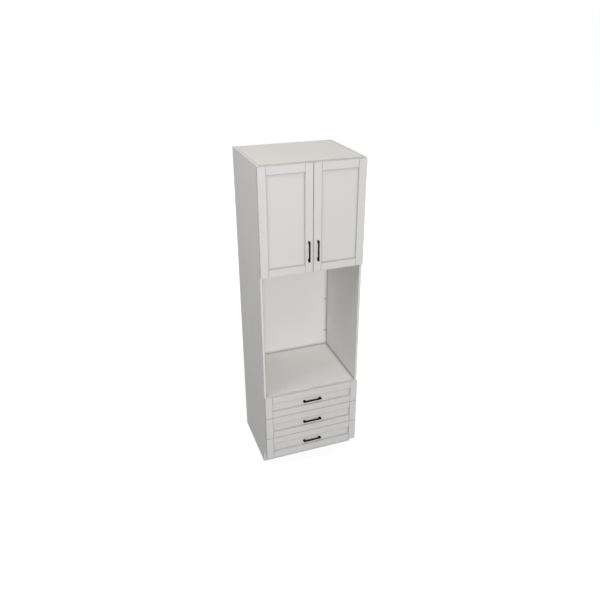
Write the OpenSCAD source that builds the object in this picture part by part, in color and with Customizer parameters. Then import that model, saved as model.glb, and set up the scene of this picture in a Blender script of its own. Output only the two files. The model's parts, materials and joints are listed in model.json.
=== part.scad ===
// Tall oven housing unit: a frameless cabinet with a two-door cupboard on top, an open
// oven cavity in the middle and three drawers below. Millimetres. The frame has X to the
// right, the doors and drawers facing -Y, Z up, and its origin on the floor under the
// middle of the cabinet's bounding box.

/* [Cabinet] */
// Overall width
cabinet_w = 762; // [680:1:920]
// Overall height
cabinet_h = 2438; // [2350:1:2600]
// Depth of the carcass, from the front edges to the rear face
carcass_d = 616; // [590:1:680]
// Thickness of the side, top, bottom and shelf boards
board_t = 18; // [16:0.5:19]
// Thickness of the back panel
back_t = 12; // [9:0.5:16]

/* [Levels] */
// Height of the toe space
toe_h = 102; // [80:1:115]
// Depth of the toe space behind the carcass front
toe_recess = 76; // [50:1:100]
// Top face of the shelf that the oven stands on
oven_shelf_z = 680; // [672:1:760]
// Bottom edge of the doors
door_bottom_z = 1670; // [1600:1:1700]
// Underside of the adjustable shelf
adjustable_shelf_z = 2046; // [2014:32:2110]

/* [Fronts] */
// Thickness of the door and drawer frames
front_t = 19; // [18:0.5:20]
// Gap between the carcass and the backs of the doors and drawer fronts
front_gap = 2; // [2:0.5:3]
// Gap from the cabinet's outer side face to the edge of a front
side_reveal = 1.5; // [1:0.5:3]
// Gap between the two doors
pair_gap = 3; // [2:0.5:5]
// Gap from the top of the cabinet to the top of the doors
top_reveal = 6; // [2:0.5:10]
// Gap between one drawer front and the next
drawer_gap = 3; // [2:0.5:5]
// Gap between the bottom drawer front and the level of the toe space
bottom_reveal = 1; // [0:0.5:5]
// Gap from the oven shelf's top face down to the top drawer front
shelf_reveal = 3; // [1:0.5:6]
// Width of the stiles of the doors and drawer fronts
stile_w = 57; // [52:0.5:70]
// Width of the rails of the doors and drawer fronts
rail_w = 57; // [45:0.5:62]
// Depth of the panel's face behind the face of the frame
panel_recess = 10; // [7:0.5:11]
// Thickness of the panel
panel_t = 6; // [4:0.5:6]
// Depth of the groove that holds the panel
groove_d = 9; // [6:0.5:10]
// Space between the edge of the panel and the bottom of its groove
panel_play = 1; // [0.5:0.5:2]

/* [Handles] */
// Distance between the two handle screws
handle_centres = 128; // [96:1:160]
// How far a handle stands out from the face it is screwed to
handle_projection = 24; // [22:0.5:40]
// Width of the grip bar
handle_bar_w = 9; // [7:0.5:12]
// Depth of the grip bar
handle_bar_d = 9; // [7:0.5:12]
// Width of a handle foot, across the handle
handle_foot_w = 10; // [8:0.5:16]
// Length of a handle foot, along the handle
handle_foot_l = 22; // [12:0.5:26]
// Radius of the rounded ends and shoulders of a handle
handle_round = 3; // [2:0.5:3]
// Distance from a door's meeting edge to its handle
handle_inset = 31.5; // [25:0.5:38]
// Height of a door handle's middle above the door's bottom edge
handle_up = 156; // [120:1:200]

/* [Hinges] */
// Diameter of the hinge cup
cup_d = 35; // [34:0.5:36]
// Depth of the hinge cup
cup_depth = 13; // [12:0.5:13.5]
// Material between the cup's bore and the edge of the door
cup_edge = 5; // [4:0.5:6]
// Distance of each hinge from the top or bottom edge of the door
hinge_end = 100; // [80:1:140]
// Width of the hinge link
link_w = 12; // [10:0.5:12]

/* [Drawers] */
// Space between the drawer boxes and the back panel
box_back_gap = 56; // [20:1:120]
// Height of a drawer box
box_h = 120; // [100:1:130]
// Thickness of the drawer box's walls
box_t = 15; // [12:0.5:16]
// Thickness of the drawer box's bottom
box_bottom_t = 6; // [5:0.5:9]
// Height of the drawer bottom above the lower edge of the box
box_bottom_up = 12; // [8:0.5:16]
// Height of the box's lower edge above the lower edge of its front
box_up = 25; // [22:0.5:30]
// Space between the drawer box and the cabinet side, for the runner
runner_gap = 13; // [12.5:0.1:14]
// Space between the runners and the back panel
runner_back_gap = 51; // [20:1:120]
// Distance of the runners behind the carcass front
runner_setback = 3; // [2:0.5:10]

/* [Fittings] */
// Height of the wall rail
wall_rail_h = 90; // [70:1:120]
// Distance between the two wall-fixing holes
wall_hole_centres = 406.4; // [300:0.1:450]
// Diameter of the wall-fixing holes
wall_hole_d = 6; // [5:0.5:8]
// Height of the lower pair of back-panel clips above the oven shelf
clip_low = 135; // [100:1:200]
// Height of the upper pair of back-panel clips above the oven shelf
clip_high = 437; // [380:1:520]
// Length of a back-panel clip along the back panel
clip_l = 28; // [20:1:40]
// Diameter of the shelf-pin holes
shelf_pin_d = 5; // [5:0.5:7]
// Number of shelf-pin holes in each row
pin_rows = 9; // [7:1:11]

/* [Hidden] */

// Colours
paint = [0.85, 0.85, 0.835];
board_colour = [0.82, 0.81, 0.79];
birch = [0.80, 0.68, 0.50];
black = [0.05, 0.05, 0.05];
steel = [0.66, 0.67, 0.69];
nickel = [0.72, 0.72, 0.72];
grey_plastic = [0.62, 0.62, 0.61];

// The whole depth is the carcass, the gap, a front and a handle, centred on Y = 0
total_d = carcass_d + front_gap + front_t + handle_projection;
front_y = -total_d / 2 + handle_projection + front_t + front_gap;
back_y = front_y + carcass_d;
face_y = front_y - front_gap - front_t;
side_x = cabinet_w / 2;
inner_x = side_x - board_t;
board_back_y = back_y - back_t;

// Doors
door_w = side_x - side_reveal - pair_gap / 2;
door_h = cabinet_h - top_reveal - door_bottom_z;
door_x = -side_x + side_reveal;

// Drawer fronts, numbered from the top
drawer_count = 3;
front_w = cabinet_w - 2 * side_reveal;
lowest_front_z = toe_h + bottom_reveal;
front_stack_h = oven_shelf_z - shelf_reveal - lowest_front_z;
front_h = (front_stack_h - (drawer_count - 1) * drawer_gap) / drawer_count;
function front_z(n) = lowest_front_z + (drawer_count - n) * (front_h + drawer_gap);
function box_z(n) = front_z(n) + box_up;

// Overshoot of a cut past the face it starts from, and the gap left under a screw's head
cut = 1;
seat_gap = 0.05;

// Upper cupboard
upper_shelf_lap = 1;
upper_shelf_z = door_bottom_z + upper_shelf_lap;
pin_pitch = 32;
pin_setback = 60;
pin_from_back = 90;
pin_depth = 12;
shelf_side_play = 1;
shelf_front_setback = 12;
shelf_back_play = 2;
shelf_pin_r = shelf_pin_d / 2;
shelf_pin_fit = 0.05;
shelf_pin_out = 8;
pin_end_play = 1;
pin_row_z = adjustable_shelf_z - shelf_pin_r - floor(pin_rows / 2) * pin_pitch;

// Cam fittings: a cam in the board and a bolt into the side panel
cam_r = 7.5;
cam_depth = 12.5;
cam_fit = 0.05;
cam_from_end = 24;
cam_bolt_r = 3.5;
cam_bolt_into_side = 11;
cam_setback = 60;
cam_slot_w = 2;
cam_slot_depth = 2;
cam_top_play = 1;
cam_bolt_end_play = 1;
cam_bolt_from_axis = 2;

// Screws
screw_r = 1.95;
screw_hole_r = 2.2;
screw_head_r = 4;
screw_head_h = 2.2;
thread_hole_r = 2;
handle_thread = 12;
screw_tip_play = 1;
cross_l = 4.4;
cross_w = 1;
cross_depth = 1;
small_screw_r = 1.75;
small_hole_r = 1.8;
small_head_r = 3.2;
small_head_h = 1;
small_screw_l = 12;
cup_head_h = 0.5;

// Handles
bar_end_in = 1;
foot_top_in = 1;

// Hinge: the link turns on a cabinet pin and the door's cup turns on the link. All
// places are taken from the cabinet's outer side face and the carcass front.
hinge_z = [door_bottom_z + hinge_end, door_bottom_z + door_h - hinge_end];
arm_pin_from_side = 12;
arm_pin_in = board_t + arm_pin_from_side;
arm_pin_back = 8;
arm_pin_r = 1.5;
cup_pin_from_bore = 4.5;
cup_pin_in = side_reveal + cup_edge + cup_pin_from_bore;
cup_pin_in_cup = 4;
cup_pin_out = front_gap + cup_pin_in_cup;
cup_pin_r = 1.25;
pin_fit = 0.05;
cup_wall = 0.8;
cup_bore_fit = 0.1;
cup_r = cup_d / 2;
cup_in = side_reveal + cup_edge + cup_r;
cup_ear_t = 2;
cup_ear_gap = 0.5;
cup_ear_round = 3;
cup_ear_above = 2.6;
cup_ear_x1 = cup_pin_in + cup_ear_round;
cup_ear_top = cup_pin_out - cup_ear_above;
cup_flange_from_side = 2;
cup_flange_in = board_t + cup_flange_from_side;
cup_flange_out = cup_in + cup_r - cup_bore_fit;
cup_flange_half = 27;
cup_flange_t = 1;
cup_screw_in = 9.5;
cup_screw_z = 22.5;
link_t = 2;
link_eye_r = 3.2;
link_cup_eye_r = 2.3;
link_path = [
    [cup_pin_in, -cup_pin_out],
    [cup_pin_in + 1, -cup_pin_out - 4.3],
    [cup_pin_in + 5, -cup_pin_out - 5.2],
    [cup_pin_in + 12, -cup_pin_out - 4.6],
    [arm_pin_in - 1.6, arm_pin_back - 14.4],
    [arm_pin_in, arm_pin_back]
];
arm_side_t = 1.6;
arm_side_gap = 0.4;
arm_cheek_gap = 4;
arm_h = 12.5;
arm_in = board_t + arm_cheek_gap;
arm_out = arm_in + arm_h;
arm_front = 3.4;
arm_web_front = 13;
arm_l = 62;
arm_web_t = 1.6;
plate_front = 19;
plate_back = 57;
plate_half = 22;
plate_t = 2.5;
plate_screw_back = 37;
plate_screw_z = 16;
block_front = 26;
block_back = 55;
block_out = arm_out - arm_web_t - seat_gap;
block_half = link_w / 2;
arm_screw_back = 48;
arm_screw_r = 2;
arm_screw_head_r = 3.5;
arm_screw_head_h = 1.4;
arm_screw_into_block = 5;

// Runners: each member is a steel channel, its places taken from the cabinet side
runner_t = 1.2;
outer_half = 22.5;
outer_lip = 9;
middle_web = 3;
middle_half = 18;
middle_lip = 10.5;
inner_half = 13.5;
inner_lip = 5.4;
ball_r = 1.55;
ball_strip_w = 2.6;
ball_strip_t = 0.9;
ball_strip_l = 240;
ball_strip_end = 25;
ball_count = 6;
ball_end = 15;
outer_ball_x = 6.6;
inner_ball_x = 8.4;
runner_up = 52;
runner_l = board_back_y - runner_back_gap - front_y - runner_setback;
runner_screw_end = 30;
runner_screws = [runner_screw_end, runner_l / 2, runner_l - runner_screw_end];

// Drawer boxes
box_groove_d = 6;
box_bottom_play = 0.5;
glue_line = 0.1;

// Back-panel clips
clip_h = 10;
clip_t = 2.5;
clip_side_l = 16;

module box_between(low, high) {
    translate(low)
        cube(high - low);
}

module rod_x(r, x0, x1, y, z) {
    translate([x0, y, z])
        rotate([0, 90, 0])
            cylinder(r = r, h = x1 - x0, $fn = 48);
}

module rod_y(r, y0, y1, x, z) {
    translate([x, y1, z])
        rotate([90, 0, 0])
            cylinder(r = r, h = y1 - y0, $fn = 48);
}

module rod_z(r, z0, z1, x, y) {
    translate([x, y, z0])
        cylinder(r = r, h = z1 - z0, $fn = 48);
}

module both_sides() {
    children();
    mirror([1, 0, 0])
        children();
}

// ---- Carcass boards ----

// Places along the depth of the cam fittings and of the shelf pins
cam_ys = [front_y + cam_setback, board_back_y - cam_setback];
pin_ys = [front_y + pin_setback, board_back_y - pin_from_back];

// Underside of each board that is held by cam fittings
cam_boards = [
    toe_h,
    oven_shelf_z - board_t,
    upper_shelf_z,
    cabinet_h - board_t
];

module cam_bores(z_low) {
    for (y = cam_ys)
        both_sides() {
            rod_z(cam_r + cam_fit, z_low - cut, z_low + cam_depth, inner_x - cam_from_end, y);
            rod_x(cam_bolt_r + cam_fit, inner_x - cam_from_end, inner_x + cut, y, z_low + board_t / 2);
        }
}

module carcass_board(z_low, y_back) {
    difference() {
        box_between([-inner_x, front_y, z_low], [inner_x, y_back, z_low + board_t]);
        cam_bores(z_low);
    }
}

module left_side_panel() {
    color(board_colour)
        difference() {
            box_between([-side_x, front_y, 0], [-inner_x, back_y, cabinet_h]);
            box_between([-side_x - cut, front_y - cut, -cut], [-inner_x + cut, front_y + toe_recess, toe_h]);
            for (z = cam_boards, y = cam_ys)
                rod_x(cam_bolt_r + cam_fit, -inner_x - cam_bolt_into_side, -inner_x + cut, y,
                      z + board_t / 2);
            for (i = [0 : pin_rows - 1], y = pin_ys)
                rod_x(shelf_pin_r + shelf_pin_fit, -inner_x - pin_depth, -inner_x + cut, y,
                      pin_row_z + i * pin_pitch);
            for (n = [1 : drawer_count], s = runner_screws)
                rod_x(small_hole_r, -inner_x - small_screw_l, -inner_x + cut,
                      front_y + runner_setback + s, box_z(n) + runner_up);
            for (z = hinge_z, s = [-1, 1])
                rod_x(small_hole_r, -inner_x - small_screw_l, -inner_x + cut,
                      front_y + plate_screw_back, z + s * plate_screw_z);
        }
}

module right_side_panel() {
    mirror([1, 0, 0])
        left_side_panel();
}

module top_panel() {
    color(board_colour)
        carcass_board(cabinet_h - board_t, back_y);
}

module upper_fixed_shelf() {
    color(board_colour)
        carcass_board(upper_shelf_z, board_back_y);
}

module oven_shelf() {
    color(board_colour)
        carcass_board(oven_shelf_z - board_t, board_back_y);
}

module bottom_panel() {
    color(board_colour)
        carcass_board(toe_h, board_back_y);
}

module adjustable_shelf() {
    color(board_colour)
        box_between([-inner_x + shelf_side_play, front_y + shelf_front_setback, adjustable_shelf_z],
                    [inner_x - shelf_side_play, board_back_y - shelf_back_play,
                     adjustable_shelf_z + board_t]);
}

// Pegs in the side panels that carry the adjustable shelf
module shelf_pins() {
    color(nickel)
        both_sides()
            for (y = pin_ys)
                rod_x(shelf_pin_r, -inner_x - pin_depth + pin_end_play, -inner_x + shelf_pin_out, y,
                      adjustable_shelf_z - shelf_pin_r);
}

module wall_holes() {
    both_sides()
        rod_y(wall_hole_d / 2, board_back_y - board_t - cut, back_y + cut, wall_hole_centres / 2,
              cabinet_h - board_t - wall_rail_h / 2);
}

module back_panel() {
    color(board_colour)
        difference() {
            box_between([-inner_x, board_back_y, toe_h], [inner_x, back_y, cabinet_h - board_t]);
            wall_holes();
        }
}

module wall_rail() {
    color(board_colour)
        difference() {
            box_between([-inner_x, board_back_y - board_t, cabinet_h - board_t - wall_rail_h],
                        [inner_x, board_back_y, cabinet_h - board_t]);
            wall_holes();
        }
}

module toe_kick_board() {
    color(board_colour)
        box_between([-inner_x, front_y + toe_recess, 0], [inner_x, front_y + toe_recess + board_t, toe_h]);
}

module back_clips() {
    color(grey_plastic)
        both_sides()
            for (z = [oven_shelf_z + clip_low, oven_shelf_z + clip_high]) {
                box_between([-inner_x, board_back_y - clip_t, z - clip_h / 2],
                            [-inner_x + clip_l, board_back_y, z + clip_h / 2]);
                box_between([-inner_x, board_back_y - clip_side_l, z - clip_h / 2],
                            [-inner_x + clip_t, board_back_y, z + clip_h / 2]);
            }
}

module cam_fittings() {
    color(steel)
        both_sides()
            for (z = cam_boards, y = cam_ys) {
                difference() {
                    rod_z(cam_r, z, z + cam_depth - cam_top_play, -inner_x + cam_from_end, y);
                    rod_x(cam_bolt_r + cam_fit, -inner_x, -inner_x + cam_from_end, y, z + board_t / 2);
                    translate([-inner_x + cam_from_end, y, z])
                        for (turn = [0, 90])
                            rotate([0, 0, turn])
                                cube([cam_r, cam_slot_w, 2 * cam_slot_depth], center = true);
                }
                rod_x(cam_bolt_r, -inner_x - cam_bolt_into_side + cam_bolt_end_play,
                      -inner_x + cam_from_end - cam_bolt_from_axis, y, z + board_t / 2);
            }
}

// ---- Screws and handles ----

// A pan-head screw along +Y from its head at the origin, with a cross recess
module pan_screw(l) {
    difference() {
        union() {
            rod_y(screw_head_r, -screw_head_h, 0, 0, 0);
            rod_y(screw_r, 0, l, 0, 0);
        }
        for (turn = [0, 90])
            translate([0, -screw_head_h, 0])
                rotate([0, turn, 0])
                    cube([cross_l, 2 * cross_depth, cross_w], center = true);
    }
}

// Rounded rectangle from its corners, with quarter circles for corners
module rounded_outline(x0, y0, x1, y1, r) {
    translate([x0 + r, y0])
        square([x1 - x0 - 2 * r, y1 - y0]);
    translate([x0, y0 + r])
        square([x1 - x0, y1 - y0 - 2 * r]);
    for (x = [x0 + r, x1 - r], y = [y0 + r, y1 - r])
        translate([x, y])
            circle(r = r, $fn = 32);
}

// A handle along X, its feet on the plane Y = 0 and its grip towards -Y
module bar_handle() {
    half_l = handle_centres / 2 + handle_foot_l / 2;
    difference() {
        union() {
            translate([0, 0, -handle_bar_w / 2])
                linear_extrude(height = handle_bar_w)
                    rounded_outline(-half_l + bar_end_in, -handle_projection, half_l - bar_end_in,
                                    -handle_projection + handle_bar_d, handle_round);
            for (s = [-1, 1])
                translate([s * handle_centres / 2, 0, 0])
                    rotate([90, 0, 0])
                        linear_extrude(height = handle_projection - foot_top_in)
                            rounded_outline(-handle_foot_l / 2, -handle_foot_w / 2,
                                            handle_foot_l / 2, handle_foot_w / 2, handle_round);
        }
        for (s = [-1, 1])
            rod_y(thread_hole_r, -handle_thread, cut, s * handle_centres / 2, 0);
    }
}

// ---- Framed fronts: x from 0 to w, z from 0 to h, y from 0 (face) to front_t (back) ----

module panel_groove(low_x, high_x, low_z, high_z) {
    box_between([low_x, panel_recess, low_z], [high_x, panel_recess + panel_t, high_z]);
}

module stile(h) {
    difference() {
        box_between([0, 0, 0], [stile_w, front_t, h]);
        panel_groove(stile_w - groove_d, stile_w + cut, -cut, h + cut);
    }
}

module rail(w) {
    difference() {
        union() {
            box_between([stile_w, 0, 0], [w - stile_w, front_t, rail_w]);
            panel_groove(stile_w - groove_d, w - stile_w + groove_d, 0, rail_w - groove_d);
        }
        panel_groove(stile_w - groove_d - cut, w - stile_w + groove_d + cut, rail_w - groove_d, rail_w + cut);
    }
}

module flat_panel(w, h) {
    edge_x = stile_w - groove_d + panel_play;
    edge_z = rail_w - groove_d + panel_play;
    box_between([edge_x, panel_recess, edge_z], [w - edge_x, panel_recess + panel_t, h - edge_z]);
}

module flip_x(w) {
    translate([w, 0, 0])
        mirror([1, 0, 0])
            children();
}

module flip_z(h) {
    translate([0, 0, h])
        mirror([0, 0, 1])
            children();
}

// ---- Left door; the right door is its mirror image ----

module place_door() {
    translate([door_x, face_y, door_bottom_z])
        children();
}

module handle_screw_holes_door() {
    for (s = [-1, 1])
        rod_y(screw_hole_r, -cut, front_t + cut, door_w - handle_inset, handle_up + s * handle_centres / 2);
}

module left_door_hinge_stile() {
    color(paint)
        place_door()
            difference() {
                stile(door_h);
                for (z = hinge_z - [door_bottom_z, door_bottom_z]) {
                    rod_y(cup_r + cup_bore_fit, front_t - cup_depth - cup_bore_fit, front_t + cut,
                          cup_edge + cup_r, z);
                    for (s = [-1, 1])
                        rod_y(small_hole_r, front_t - small_screw_l, front_t + cut,
                              cup_edge + cup_r + cup_screw_in, z + s * cup_screw_z);
                }
            }
}

module left_door_meeting_stile() {
    color(paint)
        place_door()
            difference() {
                flip_x(door_w)
                    stile(door_h);
                handle_screw_holes_door();
            }
}

module left_door_rails() {
    color(paint)
        place_door() {
            rail(door_w);
            flip_z(door_h)
                rail(door_w);
        }
}

module left_door_panel() {
    color(paint)
        place_door()
            flat_panel(door_w, door_h);
}

module left_door_handle() {
    color(black)
        place_door()
            translate([door_w - handle_inset, 0, handle_up])
                rotate([0, 90, 0])
                    bar_handle();
}

module left_door_handle_screws() {
    color(steel)
        place_door()
            for (s = [-1, 1])
                translate([door_w - handle_inset, front_t, handle_up + s * handle_centres / 2])
                    mirror([0, 1, 0])
                        pan_screw(front_t + handle_thread - screw_tip_play);
}

// ---- Left hinges ----

module place_hinges() {
    for (z = hinge_z)
        translate([-side_x, front_y, z])
            children();
}

// The cup is let into the back of the door, with its pin between two ears
module left_door_hinge_cups() {
    cup_y = -front_gap;
    ear_z0 = link_w / 2 + cup_ear_gap;
    color(nickel)
        place_hinges() {
            difference() {
                union() {
                    rod_y(cup_r, cup_y - cup_depth, cup_y, cup_in, 0);
                    box_between([cup_flange_in, cup_y, -cup_flange_half],
                                [cup_flange_out, cup_y + cup_flange_t, cup_flange_half]);
                }
                difference() {
                    rod_y(cup_r - cup_wall, cup_y - cup_depth + cup_wall, cup_y + cup_flange_t + cut,
                          cup_in, 0);
                    for (s = [-1, 1])
                        translate([0, 0, s * (ear_z0 + cup_ear_t / 2)])
                            box_between([cup_in - cup_r, cup_y - cup_depth, -cup_ear_t / 2],
                                        [cup_ear_x1, -cup_ear_top, cup_ear_t / 2]);
                }
                rod_z(cup_pin_r + pin_fit, -ear_z0 - cup_ear_t, ear_z0 + cup_ear_t, cup_pin_in, -cup_pin_out);
                for (s = [-1, 1])
                    rod_y(small_hole_r, cup_y - cut, cup_y + cup_flange_t + cut, cup_in + cup_screw_in,
                          s * cup_screw_z);
            }
            rod_z(cup_pin_r, -ear_z0 - cup_ear_t, ear_z0 + cup_ear_t, cup_pin_in, -cup_pin_out);
            for (s = [-1, 1])
                translate([cup_in + cup_screw_in, cup_y + cup_flange_t + seat_gap, s * cup_screw_z]) {
                    rod_y(small_head_r, 0, cup_head_h, 0, 0);
                    rod_y(small_screw_r, -small_screw_l, 0, 0, 0);
                }
        }
}

// A strip of even thickness along a path of points, with mitred bends
function step_normal(path, i) = let (step = path[i + 1] - path[i]) [-step[1], step[0]] / norm(step);
function mitre(path, i) =
    let (before = step_normal(path, max(i - 1, 0)), after = step_normal(path, min(i, len(path) - 2)))
    (before + after) / (1 + before * after);

module strip(path, t) {
    last = len(path) - 1;
    polygon([
        for (i = [0 : last]) path[i] + mitre(path, i) * t / 2,
        for (i = [last : -1 : 0]) path[i] - mitre(path, i) * t / 2
    ]);
}

module left_hinge_links() {
    color(nickel)
        place_hinges()
            translate([0, 0, -link_w / 2])
                linear_extrude(height = link_w)
                    difference() {
                        union() {
                            strip(link_path, link_t);
                            translate([arm_pin_in, arm_pin_back])
                                circle(r = link_eye_r, $fn = 48);
                            translate([cup_pin_in, -cup_pin_out])
                                circle(r = link_cup_eye_r, $fn = 48);
                        }
                        translate([arm_pin_in, arm_pin_back])
                            circle(r = arm_pin_r + pin_fit, $fn = 48);
                        translate([cup_pin_in, -cup_pin_out])
                            circle(r = cup_pin_r + pin_fit, $fn = 48);
                    }
}

// The arm is a channel over a block on the mounting plate, with the link's pin in front
module hinge_arm() {
    cheek = link_w / 2 + arm_side_gap;
    cheek_out = cheek + arm_side_t;
    plate_out = board_t + plate_t;
    difference() {
        union() {
            for (s = [-1, 1])
                translate([0, 0, s * (cheek + arm_side_t / 2)])
                    box_between([arm_in, arm_front, -arm_side_t / 2], [arm_out, arm_l, arm_side_t / 2]);
            box_between([arm_out - arm_web_t, arm_web_front, -cheek_out], [arm_out, arm_l, cheek_out]);
        }
        rod_z(arm_pin_r + pin_fit, -cheek_out - cut, cheek_out + cut, arm_pin_in, arm_pin_back);
        rod_x(arm_screw_r + pin_fit, block_out, arm_out + cut, arm_screw_back, 0);
    }
    rod_z(arm_pin_r, -cheek_out, cheek_out, arm_pin_in, arm_pin_back);
    difference() {
        union() {
            box_between([board_t, plate_front, -plate_half], [plate_out, plate_back, plate_half]);
            box_between([board_t, block_front, -block_half], [block_out, block_back, block_half]);
        }
        rod_x(arm_screw_r + pin_fit, block_out - arm_screw_into_block, block_out + cut, arm_screw_back, 0);
        for (s = [-1, 1])
            rod_x(small_hole_r, board_t - cut, plate_out + cut, plate_screw_back, s * plate_screw_z);
    }
    translate([arm_out + seat_gap, arm_screw_back, 0]) {
        rod_x(arm_screw_r, block_out - arm_screw_into_block + screw_tip_play - arm_out, 0, 0, 0);
        rod_x(arm_screw_head_r, 0, arm_screw_head_h, 0, 0);
    }
    for (s = [-1, 1])
        translate([plate_out + seat_gap, plate_screw_back, s * plate_screw_z]) {
            rod_x(small_screw_r, -small_screw_l, 0, 0, 0);
            rod_x(small_head_r, 0, small_head_h, 0, 0);
        }
}

module hinge_arms() {
    color(nickel)
        both_sides()
            place_hinges()
                hinge_arm();
}

module right_hinge_links() {
    mirror([1, 0, 0])
        left_hinge_links();
}

module right_door_hinge_stile() {
    mirror([1, 0, 0])
        left_door_hinge_stile();
}

module right_door_meeting_stile() {
    mirror([1, 0, 0])
        left_door_meeting_stile();
}

module right_door_rails() {
    mirror([1, 0, 0])
        left_door_rails();
}

module right_door_panel() {
    mirror([1, 0, 0])
        left_door_panel();
}

module right_door_handle() {
    mirror([1, 0, 0])
        left_door_handle();
}

module right_door_handle_screws() {
    mirror([1, 0, 0])
        left_door_handle_screws();
}

module right_door_hinge_cups() {
    mirror([1, 0, 0])
        left_door_hinge_cups();
}

// ---- Runners, drawn for the left side: u is the distance from the cabinet side ----

module place_runner(n) {
    both_sides()
        translate([-inner_x, front_y + runner_setback, box_z(n) + runner_up])
            children();
}

// A channel along Y: its web at u0, its lips reaching to u1, half_h above and below
module channel(u0, u1, half_h, web_at_u0) {
    web_u = web_at_u0 ? u0 : u1 - runner_t;
    box_between([web_u, 0, -half_h], [web_u + runner_t, runner_l, half_h]);
    for (s = [-1, 1])
        translate([0, 0, s * (half_h - runner_t / 2)])
            box_between([u0, 0, -runner_t / 2], [u1, runner_l, runner_t / 2]);
}

// A retainer strip with its balls
module ball_strip(u, z) {
    box_between([u - ball_strip_w / 2, 0, z - ball_strip_t / 2],
                [u + ball_strip_w / 2, ball_strip_l, z + ball_strip_t / 2]);
    for (i = [0 : ball_count - 1])
        translate([u, ball_end + i * (ball_strip_l - 2 * ball_end) / (ball_count - 1), z])
            sphere(r = ball_r, $fn = 24);
}

module outer_runners(n) {
    color(steel)
        place_runner(n) {
            difference() {
                channel(0, outer_lip, outer_half, true);
                for (s = runner_screws)
                    rod_x(small_hole_r, -cut, runner_t + cut, s, 0);
            }
            for (s = runner_screws)
                translate([runner_t + seat_gap, s, 0]) {
                    rod_x(small_screw_r, -small_screw_l, 0, 0, 0);
                    rod_x(small_head_r, 0, small_head_h, 0, 0);
                }
        }
}

module middle_runners(n) {
    outer_ball_z = (outer_half - runner_t + middle_half) / 2;
    inner_ball_z = (middle_half - runner_t + inner_half) / 2;
    color(steel)
        place_runner(n) {
            channel(middle_web, middle_lip, middle_half, true);
            for (s = [-1, 1]) {
                translate([0, runner_l - ball_strip_end - ball_strip_l, 0])
                    ball_strip(outer_ball_x, s * outer_ball_z);
                translate([0, ball_strip_end, 0])
                    ball_strip(inner_ball_x, s * inner_ball_z);
            }
        }
}

module inner_runners(n) {
    color(steel)
        place_runner(n)
            channel(inner_lip, runner_gap, inner_half, false);
}

// ---- Drawers ----

module place_front(n) {
    translate([-front_w / 2, face_y, front_z(n)])
        children();
}

module front_stiles(n) {
    color(paint)
        place_front(n) {
            stile(front_h);
            flip_x(front_w)
                stile(front_h);
        }
}

module front_rails(n) {
    color(paint)
        place_front(n) {
            rail(front_w);
            flip_z(front_h)
                rail(front_w);
        }
}

module handle_screw_holes_drawer(n) {
    for (s = [-1, 1])
        rod_y(screw_hole_r, face_y, box_front_y + box_t + cut, s * handle_centres / 2,
              front_z(n) + front_h / 2);
}

module front_panel(n) {
    color(paint)
        difference() {
            place_front(n)
                flat_panel(front_w, front_h);
            handle_screw_holes_drawer(n);
        }
}

module drawer_handle(n) {
    color(black)
        translate([0, face_y + panel_recess, front_z(n) + front_h / 2])
            bar_handle();
}

// The handle's screws pass through the box's front wall and the panel
module drawer_handle_screws(n) {
    screw_y = box_front_y + box_t;
    screw_l = screw_y - face_y - panel_recess + handle_thread - screw_tip_play;
    color(steel)
        for (s = [-1, 1])
            translate([s * handle_centres / 2, screw_y, front_z(n) + front_h / 2])
                mirror([0, 1, 0])
                    pan_screw(screw_l);
}

// The box is screwed against the back of its front
box_front_y = front_y - front_gap;
box_back_y = board_back_y - box_back_gap;
box_x = inner_x - runner_gap;

module box_bottom_groove(n, play) {
    low = box_z(n) + box_bottom_up;
    box_between([-box_x + box_t - box_groove_d + play, box_front_y + box_t - box_groove_d + play, low],
                [box_x - box_t + box_groove_d - play, box_back_y - box_t + box_groove_d - play,
                 low + box_bottom_t]);
}

module box_walls(n) {
    low = box_z(n);
    high = low + box_h;
    color(birch)
        difference() {
            union() {
                both_sides()
                    box_between([-box_x, box_front_y, low], [-box_x + box_t, box_back_y, high]);
                for (y = [box_front_y, box_back_y - box_t])
                    box_between([-box_x + box_t + glue_line, y, low],
                                [box_x - box_t - glue_line, y + box_t, high]);
            }
            box_bottom_groove(n, 0);
            handle_screw_holes_drawer(n);
        }
}

module box_bottom(n) {
    color(birch)
        box_bottom_groove(n, box_bottom_play);
}

left_side_panel();
right_side_panel();
top_panel();
upper_fixed_shelf();
adjustable_shelf();
shelf_pins();
oven_shelf();
bottom_panel();
back_panel();
back_clips();
wall_rail();
toe_kick_board();
cam_fittings();
hinge_arms();
left_hinge_links();
right_hinge_links();
left_door_hinge_stile();
left_door_meeting_stile();
left_door_rails();
left_door_panel();
left_door_handle();
left_door_handle_screws();
left_door_hinge_cups();
right_door_hinge_stile();
right_door_meeting_stile();
right_door_rails();
right_door_panel();
right_door_handle();
right_door_handle_screws();
right_door_hinge_cups();
outer_runners(1);  // drawer_1_outer_runners
outer_runners(2);  // drawer_2_outer_runners
outer_runners(3);  // drawer_3_outer_runners
middle_runners(1);  // drawer_1_middle_runners
middle_runners(2);  // drawer_2_middle_runners
middle_runners(3);  // drawer_3_middle_runners
inner_runners(1);  // drawer_1_inner_runners
inner_runners(2);  // drawer_2_inner_runners
inner_runners(3);  // drawer_3_inner_runners
front_stiles(1);  // drawer_1_front_stiles
front_stiles(2);  // drawer_2_front_stiles
front_stiles(3);  // drawer_3_front_stiles
front_rails(1);  // drawer_1_front_rails
front_rails(2);  // drawer_2_front_rails
front_rails(3);  // drawer_3_front_rails
front_panel(1);  // drawer_1_front_panel
front_panel(2);  // drawer_2_front_panel
front_panel(3);  // drawer_3_front_panel
drawer_handle(1);  // drawer_1_handle
drawer_handle(2);  // drawer_2_handle
drawer_handle(3);  // drawer_3_handle
drawer_handle_screws(1);  // drawer_1_handle_screws
drawer_handle_screws(2);  // drawer_2_handle_screws
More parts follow.
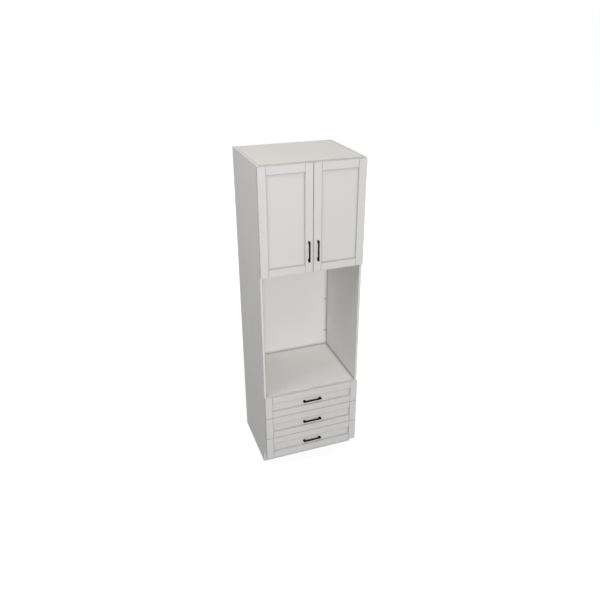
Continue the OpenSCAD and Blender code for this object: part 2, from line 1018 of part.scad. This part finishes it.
drawer_handle_screws(3);  // drawer_3_handle_screws
box_walls(1);  // drawer_1_box_walls
box_walls(2);  // drawer_2_box_walls
box_walls(3);  // drawer_3_box_walls
box_bottom(1);  // drawer_1_box_bottom
box_bottom(2);  // drawer_2_box_bottom
box_bottom(3);  // drawer_3_box_bottom
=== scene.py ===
import json
import math

import bmesh
import bpy
from mathutils import Euler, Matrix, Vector


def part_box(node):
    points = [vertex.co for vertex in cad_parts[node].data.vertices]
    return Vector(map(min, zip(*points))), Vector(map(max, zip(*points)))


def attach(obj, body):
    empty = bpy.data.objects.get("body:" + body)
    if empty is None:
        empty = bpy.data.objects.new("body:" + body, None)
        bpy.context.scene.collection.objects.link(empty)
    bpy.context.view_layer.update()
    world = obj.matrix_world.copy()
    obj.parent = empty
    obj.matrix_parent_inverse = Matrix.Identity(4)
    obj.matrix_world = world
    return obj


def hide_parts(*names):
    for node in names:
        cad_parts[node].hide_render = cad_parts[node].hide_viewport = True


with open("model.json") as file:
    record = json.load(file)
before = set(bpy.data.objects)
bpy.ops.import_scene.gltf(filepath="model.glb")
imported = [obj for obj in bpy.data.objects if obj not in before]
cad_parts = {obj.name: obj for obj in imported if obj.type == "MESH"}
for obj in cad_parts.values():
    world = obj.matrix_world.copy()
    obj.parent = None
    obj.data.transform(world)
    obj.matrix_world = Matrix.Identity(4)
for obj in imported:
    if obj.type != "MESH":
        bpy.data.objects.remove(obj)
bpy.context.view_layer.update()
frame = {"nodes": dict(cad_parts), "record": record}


# ---- Studio ----
# The camera stands left of the cabinet, above its top, and looks down at its middle. A soft lamp
# stands behind the camera and another far behind the cabinet. Weak ones hang overhead and on the
# left. The floor and the room are pale.

camera_place = (-1.3336, -3.8219, 3.2937)
camera_yaw = 0.34747
camera_down = 0.456066
camera_lens = 35.1265
camera_shift = -0.00833

camera_data = bpy.data.cameras.new("camera")
camera_data.lens = camera_lens
camera_data.sensor_width = 36.0
camera_data.shift_x = camera_shift
camera = bpy.data.objects.new("camera", camera_data)
camera.location = camera_place
camera.rotation_euler = Euler((math.pi / 2 - camera_down, 0.0, -camera_yaw))
bpy.context.scene.collection.objects.link(camera)
bpy.context.scene.camera = camera
bpy.context.scene.view_settings.view_transform = "Standard"


def soft_lamp(name, place, aim, size, power):
    """A square area lamp at place, turned towards aim."""
    data = bpy.data.lights.new(name, "AREA")
    data.shape = "SQUARE"
    data.size = size
    data.energy = power
    lamp = bpy.data.objects.new(name, data)
    lamp.location = place
    lamp.rotation_euler = (Vector(aim) - Vector(place)).to_track_quat("-Z", "Y").to_euler()
    bpy.context.scene.collection.objects.link(lamp)


soft_lamp("front_lamp", (-2.3, -8.9, 4.3), (0.0, 0.0, 1.2), 1.4, 578.0)
soft_lamp("back_lamp", (7.6, 5.6, 3.6), (0.0, 0.0, 1.3), 3.0, 400.0)
soft_lamp("top_lamp", (0.2, -0.6, 6.0), (0.0, 0.0, 2.0), 3.0, 18.0)
soft_lamp("left_lamp", (-2.7, -0.8, 4.8), (0.0, 0.0, 2.4), 1.8, 45.0)


class Wire:
    """A shader socket in its node tree. Sums on wires add their Math nodes."""

    def __init__(self, tree, socket):
        self.tree = tree
        self.socket = socket

    def node(self, kind, settings, inputs, output=0):
        """Adds a node: its settings first, then the values or wires of its sockets."""
        made = self.tree.nodes.new(kind)
        stops = settings.pop("stops", [])
        for name, value in settings.items():
            setattr(made, name, value)
        for _ in stops[2:]:
            made.color_ramp.elements.new(0.5)
        for number, (place, colour) in enumerate(stops):
            made.color_ramp.elements[number].position = place
            made.color_ramp.elements[number].color = colour
        for key, value in inputs.items():
            if isinstance(value, Wire):
                self.tree.links.new(value.socket, made.inputs[key])
            else:
                made.inputs[key].default_value = value
        return Wire(self.tree, made.outputs[output])

    def maths(self, operation, *values):
        """Adds a Math node on these numbers and wires."""
        return self.node("ShaderNodeMath", {"operation": operation}, dict(enumerate(values)))

    def __add__(self, other):
        return self.maths("ADD", self, other)

    def __radd__(self, other):
        return self.maths("ADD", other, self)

    def __sub__(self, other):
        return self.maths("SUBTRACT", self, other)

    def __rsub__(self, other):
        return self.maths("SUBTRACT", other, self)

    def __mul__(self, other):
        return self.maths("MULTIPLY", self, other)

    def __rmul__(self, other):
        return self.maths("MULTIPLY", other, self)

    def __gt__(self, other):
        return self.maths("GREATER_THAN", self, other)

    def __abs__(self):
        return self.maths("ABSOLUTE", self)

    def least(self, other):
        """The smaller of this wire and another wire or number."""
        return self.maths("MINIMUM", self, other)

    def most(self, other):
        """The larger of this wire and another wire or number."""
        return self.maths("MAXIMUM", self, other)

    def axes(self):
        """The three numbers of a place or a direction."""
        return [self.node("ShaderNodeSeparateXYZ", {}, {0: self}, axis) for axis in "XYZ"]

    def attribute(self, name):
        """What the piece's own attribute of this name says."""
        return self.node("ShaderNodeAttribute", {"attribute_name": name}, {}, "Fac")

    def clouds(self, size, stretch=(1.0, 1.0, 1.0), detail=3.0):
        """Noise on this place, its spots about size metres across and drawn out by stretch."""
        scale = tuple(1.0 / (size * share) for share in stretch)
        turned = self.node("ShaderNodeMapping", {}, {"Vector": self, "Scale": scale})
        values = {"Vector": turned, "Scale": 1.0, "Detail": detail}
        return self.node("ShaderNodeTexNoise", {}, values)

    def mixed(self, first, second):
        """The colour that lies between first and second at this share."""
        return self.node("ShaderNodeMix", {"data_type": "RGBA"}, {0: self, 6: first, 7: second}, 2)

    def into(self, shader, name):
        """Feeds this wire into a socket of the shader."""
        self.tree.links.new(self.socket, shader.inputs[name])

    def raise_surface(self, shader, strength, distance):
        """Makes the shader's surface follow this height, distance metres from 0 to 1."""
        values = {"Strength": strength, "Distance": distance, "Height": self}
        self.node("ShaderNodeBump", {}, values).into(shader, "Normal")


def wire_from(tree, kind, output):
    """A wire that starts at an input node of the tree."""
    return Wire(tree, tree.nodes.new(kind).outputs[output])


def seen_directly(tree):
    """1 on camera, glossy and transmission rays, and 0 on the rays that light things."""
    rays = ("Is Camera Ray", "Is Glossy Ray", "Is Transmission Ray")
    camera_ray, glossy, through = (wire_from(tree, "ShaderNodeLightPath", ray) for ray in rays)
    return (camera_ray + glossy + through).least(1.0)


def new_finish(name):
    """A new material, its shader, and the place on the surface that its patterns read."""
    material = bpy.data.materials.new(name)
    material.use_nodes = True
    place = wire_from(material.node_tree, "ShaderNodeTexCoord", "Object")
    return material, material.node_tree.nodes["Principled BSDF"], place


room_light = 0.32
room = bpy.data.worlds.new("room")
room.use_nodes = True
bpy.context.scene.world = room
backdrop = room.node_tree.nodes["Background"]
backdrop.inputs["Strength"].default_value = 1.0
(room_light + (1.0 - room_light) * seen_directly(room.node_tree)).into(backdrop, "Color")

floor_half = 9.0
floor_colour = (0.20, 0.20, 0.197, 1.0)
floor_roughness = 0.9
floor_glow = 0.86
glow_rise_per_metre = 0.03
floor_mesh = bpy.data.meshes.new("floor")
floor_shape = bmesh.new()
bmesh.ops.create_grid(floor_shape, x_segments=1, y_segments=1, size=floor_half)
floor_shape.to_mesh(floor_mesh)
floor_shape.free()
floor = bpy.data.objects.new("floor", floor_mesh)
bpy.context.scene.collection.objects.link(floor)
floor_paint, floor_shader, floor_place = new_finish("floor_paint")
floor_shader.inputs["Base Color"].default_value = floor_colour
floor_shader.inputs["Roughness"].default_value = floor_roughness
floor_shader.inputs["Specular IOR Level"].default_value = 0.0
floor_shader.inputs["Emission Strength"].default_value = 1.0
far_off = floor_place.node(
    "ShaderNodeVectorMath", {"operation": "LENGTH"}, {0: floor_place}, "Value"
)
floor_level = (floor_glow + glow_rise_per_metre * far_off).least(1.0)
(seen_directly(floor_paint.node_tree) * floor_level).into(floor_shader, "Emission Color")
floor_mesh.materials.append(floor_paint)


# ---- Carcass ----
# Side, top, bottom and shelf boards of 18 mm and a 12 mm back, faced with off-white melamine.
# Cam fittings draw the boards against the sides, which leaves a fine line where they meet,
# and the edge bander's scraper has eased every arris. Painted shade darkens the cavity's
# corners and the edges behind the doors and drawer fronts.

body_of = {
    node: body for body, nodes in frame["record"]["behaviour"]["bodies"].items() for node in nodes
}

drift_size = 0.35
rub_size = 0.05
streak_width = 0.0045
peel_size = 0.0022
peel_strength = 0.35
peel_distance = 0.0005
drift_dark = 0.945
shade_and_grime_tint = (0.19, 0.18, 0.17)
wall_slack = 0.0008
paint_specular = 0.35


def tones(share, colour, dark):
    """The colour itself where share is 1, and the colour times dark where share is 0."""
    return share.mixed(tuple(channel * dark for channel in colour) + (1.0,), colour + (1.0,))


def corner_shade(place, low, high, reach):
    """Painted shade: 1 in the inner corners of a hollow that is open at the front, falling to 0 at
    reach.
    On a wall, the second smallest distance to the hollow's walls is the one to the corner."""
    x, y, z = place.axes()
    from_side = (x - low[0]).least(high[0] - x)
    from_back = high[1] - y
    from_level = (z - low[2]).least(high[2] - z)
    nearest = from_side.least(from_back).least(from_level)
    second = from_side.most(from_back).least(from_back.most(from_level))
    second = second.least(from_side.most(from_level))
    near = (1.0 - second * (1.0 / reach)).most(0.0)
    return near * near * (nearest > -wall_slack)


def painted(name, colour, gloss, grain, peel, hollow=None, inner=None):
    """A satin finish on board, wood or plastic. Tone and gloss drift a little, faint streaks are
    drawn out by grain, and a dark tint, partly grime and partly painted shade, lies where the edge
    attribute is set, with painted shade in a hollow's corners. Faces with the lining attribute
    take the inner colour where one is given, a lighter tone painted to lift their shade."""
    material, shader, place = new_finish(name)
    edge = place.attribute("edge")
    drift = place.clouds(drift_size)
    streaks = place.clouds(streak_width, grain, 4.0)
    rubs = place.clouds(rub_size, detail=5.0)
    share = drift * 0.6 + streaks * 0.4
    tone = tones(share, colour, drift_dark)
    if inner:
        tone = place.attribute("shade_lift").mixed(tone, tones(share, inner, drift_dark))
    # The edge attribute darkens joints and arrises: grime, and painted shade where the gaps
    # between parts shade them.
    shaded_and_soiled = edge * (0.68 + 0.2 * rubs)
    # Painted shade in the inner corners of the hollow.
    if hollow:
        low, high, reach, depth = hollow
        shaded_and_soiled = shaded_and_soiled.most(corner_shade(place, low, high, reach) * depth)
    shade_and_grime_colour = tuple(channel * tint for channel, tint in zip(colour, shade_and_grime_tint)) + (1.0,)
    shaded_and_soiled.mixed(tone, shade_and_grime_colour).into(shader, "Base Color")
    (gloss + 0.12 * (rubs - 0.5) + 0.08 * (drift - 0.5) + 0.15 * edge).into(shader, "Roughness")
    height = place.clouds(peel_size, detail=2.0) * peel + streaks * 0.7
    height.raise_surface(shader, peel_strength, peel_distance)
    shader.inputs["Specular IOR Level"].default_value = paint_specular
    return material


def put_on_cabinet(name, shape, node, material):
    """Makes a finished shape the piece that stands for a node. Its faces are shaded flat,
    without the stored normals of the node's own triangles, which no longer fit."""
    for face in shape.faces:
        face.smooth = False
    mesh = bpy.data.meshes.new(name)
    shape.to_mesh(mesh)
    shape.free()
    if "custom_normal" in mesh.attributes:
        mesh.attributes.remove(mesh.attributes["custom_normal"])
    mesh.materials.append(material)
    piece = bpy.data.objects.new(name, mesh)
    bpy.context.scene.collection.objects.link(piece)
    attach(piece, body_of[node])
    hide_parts(node)


merge_distance = 0.000002
flat_angle = math.radians(0.5)
arris_angle = math.radians(60)
rim_reach = 1.05


def merged_copy(node):
    """A node's own shape as flat faces, its loose triangles joined."""
    shape = bmesh.new()
    shape.from_mesh(frame["nodes"][node].data)
    bmesh.ops.remove_doubles(shape, verts=shape.verts, dist=merge_distance)
    bmesh.ops.dissolve_limit(shape, angle_limit=flat_angle, verts=shape.verts, edges=shape.edges)
    return shape


def planes_touched(place, rim, reach):
    """How many of the six planes of a box a place lies within reach of."""
    return sum(
        abs(place[axis] - corner[axis]) < reach for corner in rim for axis in range(3)
    )


def ease_arrises(shape, ease, rim, shortest=0.012, outer=0.5, inner=1.0):
    """Rounds the long convex edges. The edge attribute gets the outer value where a face
    lies along the rim box's own edges, and the inner value elsewhere, at the joints."""
    edge_layer = shape.faces.layers.float.new("edge")
    arrises = [
        edge
        for edge in shape.edges
        if edge.is_manifold
        and edge.is_convex
        and edge.calc_length() > shortest
        and edge.calc_face_angle() > arris_angle
    ]
    made = bmesh.ops.bevel(
        shape, geom=arrises, offset=ease, offset_type="OFFSET", affect="EDGES", segments=2,
        profile=0.5, material=-1, clamp_overlap=True,
    )
    for face in made["faces"]:
        on_rim = planes_touched(face.calc_center_median(), rim, ease * rim_reach) >= 2
        face[edge_layer] = outer if on_rim else inner
    return edge_layer


board_ease = 0.0011
melamine_gloss = 0.50
melamine_peel = 0.5
upright_grain = (1.0, 1.0, 40.0)
level_grain = (40.0, 1.0, 1.0)
# Reach and strength of the painted shade in the cavity's corners.
cavity_shade_reach = 0.034
cavity_shade_depth = 0.55
# The melamine is one colour. The sides' inner faces and edges, the back and the oven shelf are
# given lighter tones of it, painted light that lifts their shade inside the cavity.
side_colour = (0.652, 0.646, 0.633)
shade_lifted_side_colour = (0.722, 0.715, 0.700)
shade_lifted_back_colour = (0.726, 0.721, 0.710)
shade_lifted_shelf_colour = (0.885, 0.873, 0.842)
inner_colour = (0.755, 0.748, 0.732)
top_colour = (0.750, 0.724, 0.677)
front_arris_shade = 0.8
smallest_front_edge = 0.001
nearly_sideways = 0.9
squarely_forward = 0.95

left_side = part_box("left_side_panel")
right_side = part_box("right_side_panel")
toe_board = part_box("toe_kick_board")
carcass_rim = (Vector((left_side[0][0], left_side[0][1], 0.0)), Vector(right_side[1]))
cavity_low = (left_side[1][0], 0.0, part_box("oven_shelf")[1][2])
cavity_high = (right_side[0][0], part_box("back_panel")[0][1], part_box("upper_fixed_shelf")[0][2])
cavity = (cavity_low, cavity_high, cavity_shade_reach, cavity_shade_depth)


def melamine(name, colour, grain, hollow=None, inner=None):
    """The melamine face of one kind of board."""
    return painted(name, colour, melamine_gloss, grain, melamine_peel, hollow, inner)


side_melamine = melamine("side_melamine", side_colour, upright_grain, cavity, shade_lifted_side_colour)
toe_melamine = melamine("toe_melamine", side_colour, level_grain)
back_melamine = melamine("back_melamine", shade_lifted_back_colour, level_grain, cavity)
shelf_melamine = melamine("shelf_melamine", shade_lifted_shelf_colour, level_grain, cavity)
inner_melamine = melamine("inner_melamine", inner_colour, level_grain)
top_melamine = melamine("top_melamine", top_colour, level_grain)

# Each board's finish, the darkening on its outer arrises, and the painted shade on its front edge.
board_finish = {
    "left_side_panel": (side_melamine, 0.3, 0.0),
    "right_side_panel": (side_melamine, 0.3, 0.0),
    "top_panel": (top_melamine, 1.0, 0.5),
    "back_panel": (back_melamine, 0.5, 0.0),
    "oven_shelf": (shelf_melamine, 1.0, 0.12),
    "upper_fixed_shelf": (inner_melamine, 1.0, 0.12),
    "adjustable_shelf": (inner_melamine, 0.5, 0.0),
    "bottom_panel": (inner_melamine, 0.5, 0.0),
    "wall_rail": (inner_melamine, 0.5, 0.0),
    "toe_kick_board": (toe_melamine, 0.5, 0.0),
}
for node, (finish, arris_darkening, front_shade) in board_finish.items():
    board = merged_copy(node)
    ease_arrises(board, board_ease, carcass_rim, outer=arris_darkening)
    shade_lift_layer = board.faces.layers.float.new("shade_lift")
    # A new layer can move the others, so the edge layer is looked up after it.
    edge_layer = board.faces.layers.float["edge"]
    for face in board.faces:
        middle = face.calc_center_median()
        # Faces that don't face outwards take the lighter tone, painted light that lifts their
        # shade.
        outwards = face.normal.x * middle.x > nearly_sideways * abs(middle.x)
        face[shade_lift_layer] = 0.0 if outwards else 1.0
        at_front = middle.y < carcass_rim[0].y + board_ease
        at_toe = middle.y < toe_board[0][1] + board_ease and middle.z < toe_board[1][2]
        # Front edges, and arrises at the front and at the toe, get painted shade where the fronts
        # before them shade them.
        if face.normal.y < -squarely_forward and face.calc_area() > smallest_front_edge:
            face[edge_layer] = front_shade
        elif face[edge_layer] and (at_front or at_toe):
            face[edge_layer] = max(face[edge_layer], front_arris_shade)
    put_on_cabinet(node + "_eased", board, node, finish)


# ---- Shelf pins, clips and cam fittings ----
# Nickel-plated steel pins hold the loose shelf, and moulded grey clips hold the back. The cam
# fittings are die-cast zinc, set flush in the boards.

line_width = 0.0011
patch_size = 0.03
patch_dark = 0.78
even = (1.0, 1.0, 1.0)
clip_ease = 0.0004
shortest_clip_arris = 0.003


def plated(name, colour, roughness, brush):
    """Plated metal: bright, with fine lines along its rolling direction and dull patches."""
    material, shader, place = new_finish(name)
    lines = place.clouds(line_width, brush, 4.0)
    patches = place.clouds(patch_size)
    tones(patches * 0.7 + lines * 0.3, colour, patch_dark).into(shader, "Base Color")
    (roughness + 0.20 * (lines - 0.5) + 0.12 * (patches - 0.5)).into(shader, "Roughness")
    lines.raise_surface(shader, 0.10, 0.0002)
    shader.inputs["Metallic"].default_value = 1.0
    return material


def give_finish(node, material):
    """Puts a finish on a node that keeps its own shape."""
    mesh = frame["nodes"][node].data
    mesh.materials.clear()
    mesh.materials.append(material)


nickel = plated("nickel", (0.66, 0.64, 0.60), 0.24, even)
die_cast = plated("die_cast_zinc", (0.52, 0.52, 0.53), 0.42, even)
clip_plastic = painted("clip_plastic", (0.36, 0.36, 0.35), 0.55, even, 1.0)
give_finish("shelf_pins", nickel)
give_finish("cam_fittings", die_cast)

clips = merged_copy("back_clips")
ease_arrises(clips, clip_ease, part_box("back_clips"), shortest_clip_arris, 0.0, 0.0)
put_on_cabinet("back_clips_eased", clips, "back_clips", clip_plastic)


# ---- Door and drawer fronts ----
# Solid wood stiles and rails of 57 x 19 mm, grooved for a flat 6 mm panel and glued at the
# corners, then sprayed. A fine dark line, partly dirt and partly painted shade, stays at each
# joint and where the panel enters its groove. Painted shade also darkens the recess corners and
# the edges at the gaps.

doors = ("left", "right")
drawers = (1, 2, 3)
stile_low, stile_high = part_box("left_door_hinge_stile")
frame_width = stile_high[0] - stile_low[0]
frame_ease = 0.0012
panel_line = 0.0016
front_colour = (0.690, 0.683, 0.668)
frame_gloss = 0.42
panel_gloss = 0.44
paint_peel = 1.0
outer_arris_shade = 0.75
side_shade = 0.42
# Reach and strength of the painted shade in the panel recess's corners.
recess_shade_reach = 0.024
recess_shade_depth = 0.32
on_the_side = 0.0001
cut_distance = 0.000001
upright_paint = painted("upright_paint", front_colour, frame_gloss, (1.0, 1.0, 45.0), paint_peel)
level_paint = painted("level_paint", front_colour, frame_gloss, (45.0, 1.0, 1.0), paint_peel)


def finish_front(uprights, rails, panel, panel_grain):
    """Eases the frame of a door or drawer front, and lines its panel along the groove with painted
    shade and dirt.
    """
    boxes = [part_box(node) for node in (*uprights, rails)]
    rim = (
        Vector(min(box[0][axis] for box in boxes) for axis in range(3)),
        Vector(max(box[1][axis] for box in boxes) for axis in range(3)),
    )
    paint_of = {upright: upright_paint for upright in uprights}
    paint_of[rails] = level_paint
    for node, paint in paint_of.items():
        member = merged_copy(node)
        edge_layer = ease_arrises(member, frame_ease, rim, outer=outer_arris_shade)
        for face in member.faces:
            middle = face.calc_center_median()
            # Rear arrises get painted shade from the gap behind the front, and outer sides painted
            # shade from the gaps beside it.
            if face[edge_layer] and middle.y > rim[1].y - frame_ease:
                face[edge_layer] = 1.0
            elif abs(face.normal.x) > nearly_sideways and planes_touched(middle, rim, on_the_side):
                face[edge_layer] = side_shade
        put_on_cabinet(node + "_eased", member, node, paint)

    opening_low = rim[0] + Vector((frame_width, 0.0, frame_width))
    opening_high = rim[1] - Vector((frame_width, 0.0, frame_width))
    sheet = merged_copy(panel)
    edge_layer = sheet.faces.layers.float.new("edge")
    lines = (
        ((opening_low.x + panel_line, 0, 0), (1, 0, 0)),
        ((opening_high.x - panel_line, 0, 0), (1, 0, 0)),
        ((0, 0, opening_low.z + panel_line), (0, 0, 1)),
        ((0, 0, opening_high.z - panel_line), (0, 0, 1)),
    )
    for place, across in lines:
        bmesh.ops.bisect_plane(
            sheet, geom=[*sheet.verts, *sheet.edges, *sheet.faces], dist=cut_distance,
            plane_co=place, plane_no=across,
        )
    opening_middle = (opening_low + opening_high) / 2
    clean_half = (opening_high - opening_low) / 2 - Vector((panel_line, 0.0, panel_line))
    # Strips along the groove's edge get painted shade and dirt, in the corner where the panel
    # enters it.
    for face in sheet.faces:
        off_middle = face.calc_center_bounds() - opening_middle
        beside = abs(off_middle.x) > clean_half.x
        above = abs(off_middle.z) > clean_half.z
        face[edge_layer] = 1.0 if beside or above else 0.0
    # The panel's paint carries painted shade in the recess's corners.
    recess_high = (opening_high.x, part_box(panel)[0][1], opening_high.z)
    recess = (tuple(opening_low), recess_high, recess_shade_reach, recess_shade_depth)
    paint = painted(
        panel + "_paint", front_colour, panel_gloss, panel_grain, paint_peel, recess
    )
    put_on_cabinet(panel + "_lined", sheet, panel, paint)


for side in doors:
    finish_front(
        (f"{side}_door_hinge_stile", f"{side}_door_meeting_stile"),
        f"{side}_door_rails",
        f"{side}_door_panel",
        (1.0, 1.0, 30.0),
    )
for number in drawers:
    finish_front(
        (f"drawer_{number}_front_stiles",),
        f"drawer_{number}_front_rails",
        f"drawer_{number}_front_panel",
        (30.0, 1.0, 1.0),
    )


# ---- Handles ----
# Die-cast bar handles in matt black powder coat: a slim square grip over two thicker
# block feet, held from behind by machine screws.

coat_black = (0.004, 0.004, 0.004, 1.0)
coat_worn = (0.012, 0.0115, 0.011, 1.0)
coat_specular = 0.1
speckle_size = 0.0006
touch_size = 0.016
handle_ease = 0.0005
shortest_handle_arris = 0.004

powder_coat, coat_shader, coat_place = new_finish("powder_coat")
touched = coat_place.clouds(touch_size, detail=4.0)
(coat_place.attribute("edge") * touched).mixed(coat_black, coat_worn).into(
    coat_shader, "Base Color"
)
(0.44 + 0.22 * touched).into(coat_shader, "Roughness")
coat_place.clouds(speckle_size, detail=2.0).raise_surface(coat_shader, 0.25, 0.0002)
coat_shader.inputs["Specular IOR Level"].default_value = coat_specular

handles = [f"{side}_door_handle" for side in doors]
handles += [f"drawer_{number}_handle" for number in drawers]
for node in handles:
    grip = merged_copy(node)
    ease_arrises(grip, handle_ease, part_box(node), shortest_handle_arris, 1.0, 1.0)
    put_on_cabinet(node + "_eased", grip, node, powder_coat)


# ---- Hinges ----
# Concealed hinges of pressed steel, nickel-plated. The arms are screwed inside the sides and the
# cups into bores in the hinge stiles, and links on pins join them.

for node in ("hinge_arms", "left_hinge_links", "right_hinge_links"):
    give_finish(node, nickel)
for side in doors:
    give_finish(f"{side}_door_hinge_cups", nickel)


# ---- Drawer boxes ----
# Birch plywood of 15 mm, glued at the corners and clear lacquered, round a 6 mm bottom in a
# groove. The faces show the veneer's grain and the top edges the plies.

wall_thickness = 0.015
ply_thickness = 0.0014
inside_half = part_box("drawer_1_box_walls")[1][0] - wall_thickness
grain_width = 0.010
grain_stretch = 22.0
fleck_width = 0.0016
fleck_stretch = 14.0
square_on = 0.7
light_ply = (0.64, 0.50, 0.32, 1.0)
dark_ply = (0.33, 0.21, 0.11, 1.0)
veneer_stops = [
    (0.34, (0.47, 0.335, 0.185, 1.0)),
    (0.50, (0.60, 0.455, 0.280, 1.0)),
    (0.66, (0.68, 0.545, 0.365, 1.0)),
]
wall_ease = 0.0012
bottom_ease = 0.0004


def birch(name, along_x):
    """Lacquered birch ply. A bottom's veneer runs along X, and a wall's along the wall. The top
    edges of walls show their plies, which lie side by side across the wall."""
    material, shader, place = new_finish(name)
    flecks = place.clouds(fleck_width, (fleck_stretch, 1.0, 1.0), 2.0)
    veneer = place.clouds(grain_width, (grain_stretch, 1.0, 1.0), 6.0) * 0.72 + flecks * 0.28
    if not along_x:
        flecks_y = place.clouds(fleck_width, (1.0, fleck_stretch, 1.0), 2.0)
        grain_y = place.clouds(grain_width, (1.0, grain_stretch, 1.0), 6.0)
        normal = wire_from(material.node_tree, "ShaderNodeTexCoord", "Normal")
        normal_x, _, normal_z = normal.axes()
        sideways = abs(normal_x) > square_on
        upward = abs(normal_z) > square_on
        veneer = sideways * (grain_y * 0.72 + flecks_y * 0.28) + (1.0 - sideways) * veneer
    wood = veneer.node("ShaderNodeValToRGB", {"stops": veneer_stops}, {0: veneer})
    if not along_x:
        x, y, _ = place.axes()
        beyond = abs(x) > inside_half
        across = beyond * x + (1.0 - beyond) * y
        step = across.maths("FRACT", across * (0.5 / ply_thickness))
        plies = ((step > 0.5) * 0.75 + 0.25 * flecks).mixed(light_ply, dark_ply)
        wood = upward.mixed(wood, plies)
    wood.into(shader, "Base Color")
    (0.34 + 0.20 * veneer).into(shader, "Roughness")
    veneer.raise_surface(shader, 0.2, 0.0003)
    return material


wall_ply = birch("wall_ply", False)
bottom_ply = birch("bottom_ply", True)
for number in drawers:
    for node, finish, ease in (
        (f"drawer_{number}_box_walls", wall_ply, wall_ease),
        (f"drawer_{number}_box_bottom", bottom_ply, bottom_ease),
    ):
        shape = merged_copy(node)
        ease_arrises(shape, ease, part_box(node), outer=0.0, inner=0.0)
        put_on_cabinet(node + "_eased", shape, node, finish)


# ---- Runners and screws ----
# Cold-rolled zinc-plated steel channels with ball strips between them, and the screws that
# hold the runners and the handles.

runner_zinc = plated("runner_zinc", (0.50, 0.51, 0.53), 0.36, (1.0, 60.0, 1.0))
screw_zinc = plated("screw_zinc", (0.58, 0.59, 0.61), 0.36, even)
for number in drawers:
    for member in ("outer", "middle", "inner"):
        give_finish(f"drawer_{number}_{member}_runners", runner_zinc)
    give_finish(f"drawer_{number}_handle_screws", screw_zinc)
for side in doors:
    give_finish(f"{side}_door_handle_screws", screw_zinc)
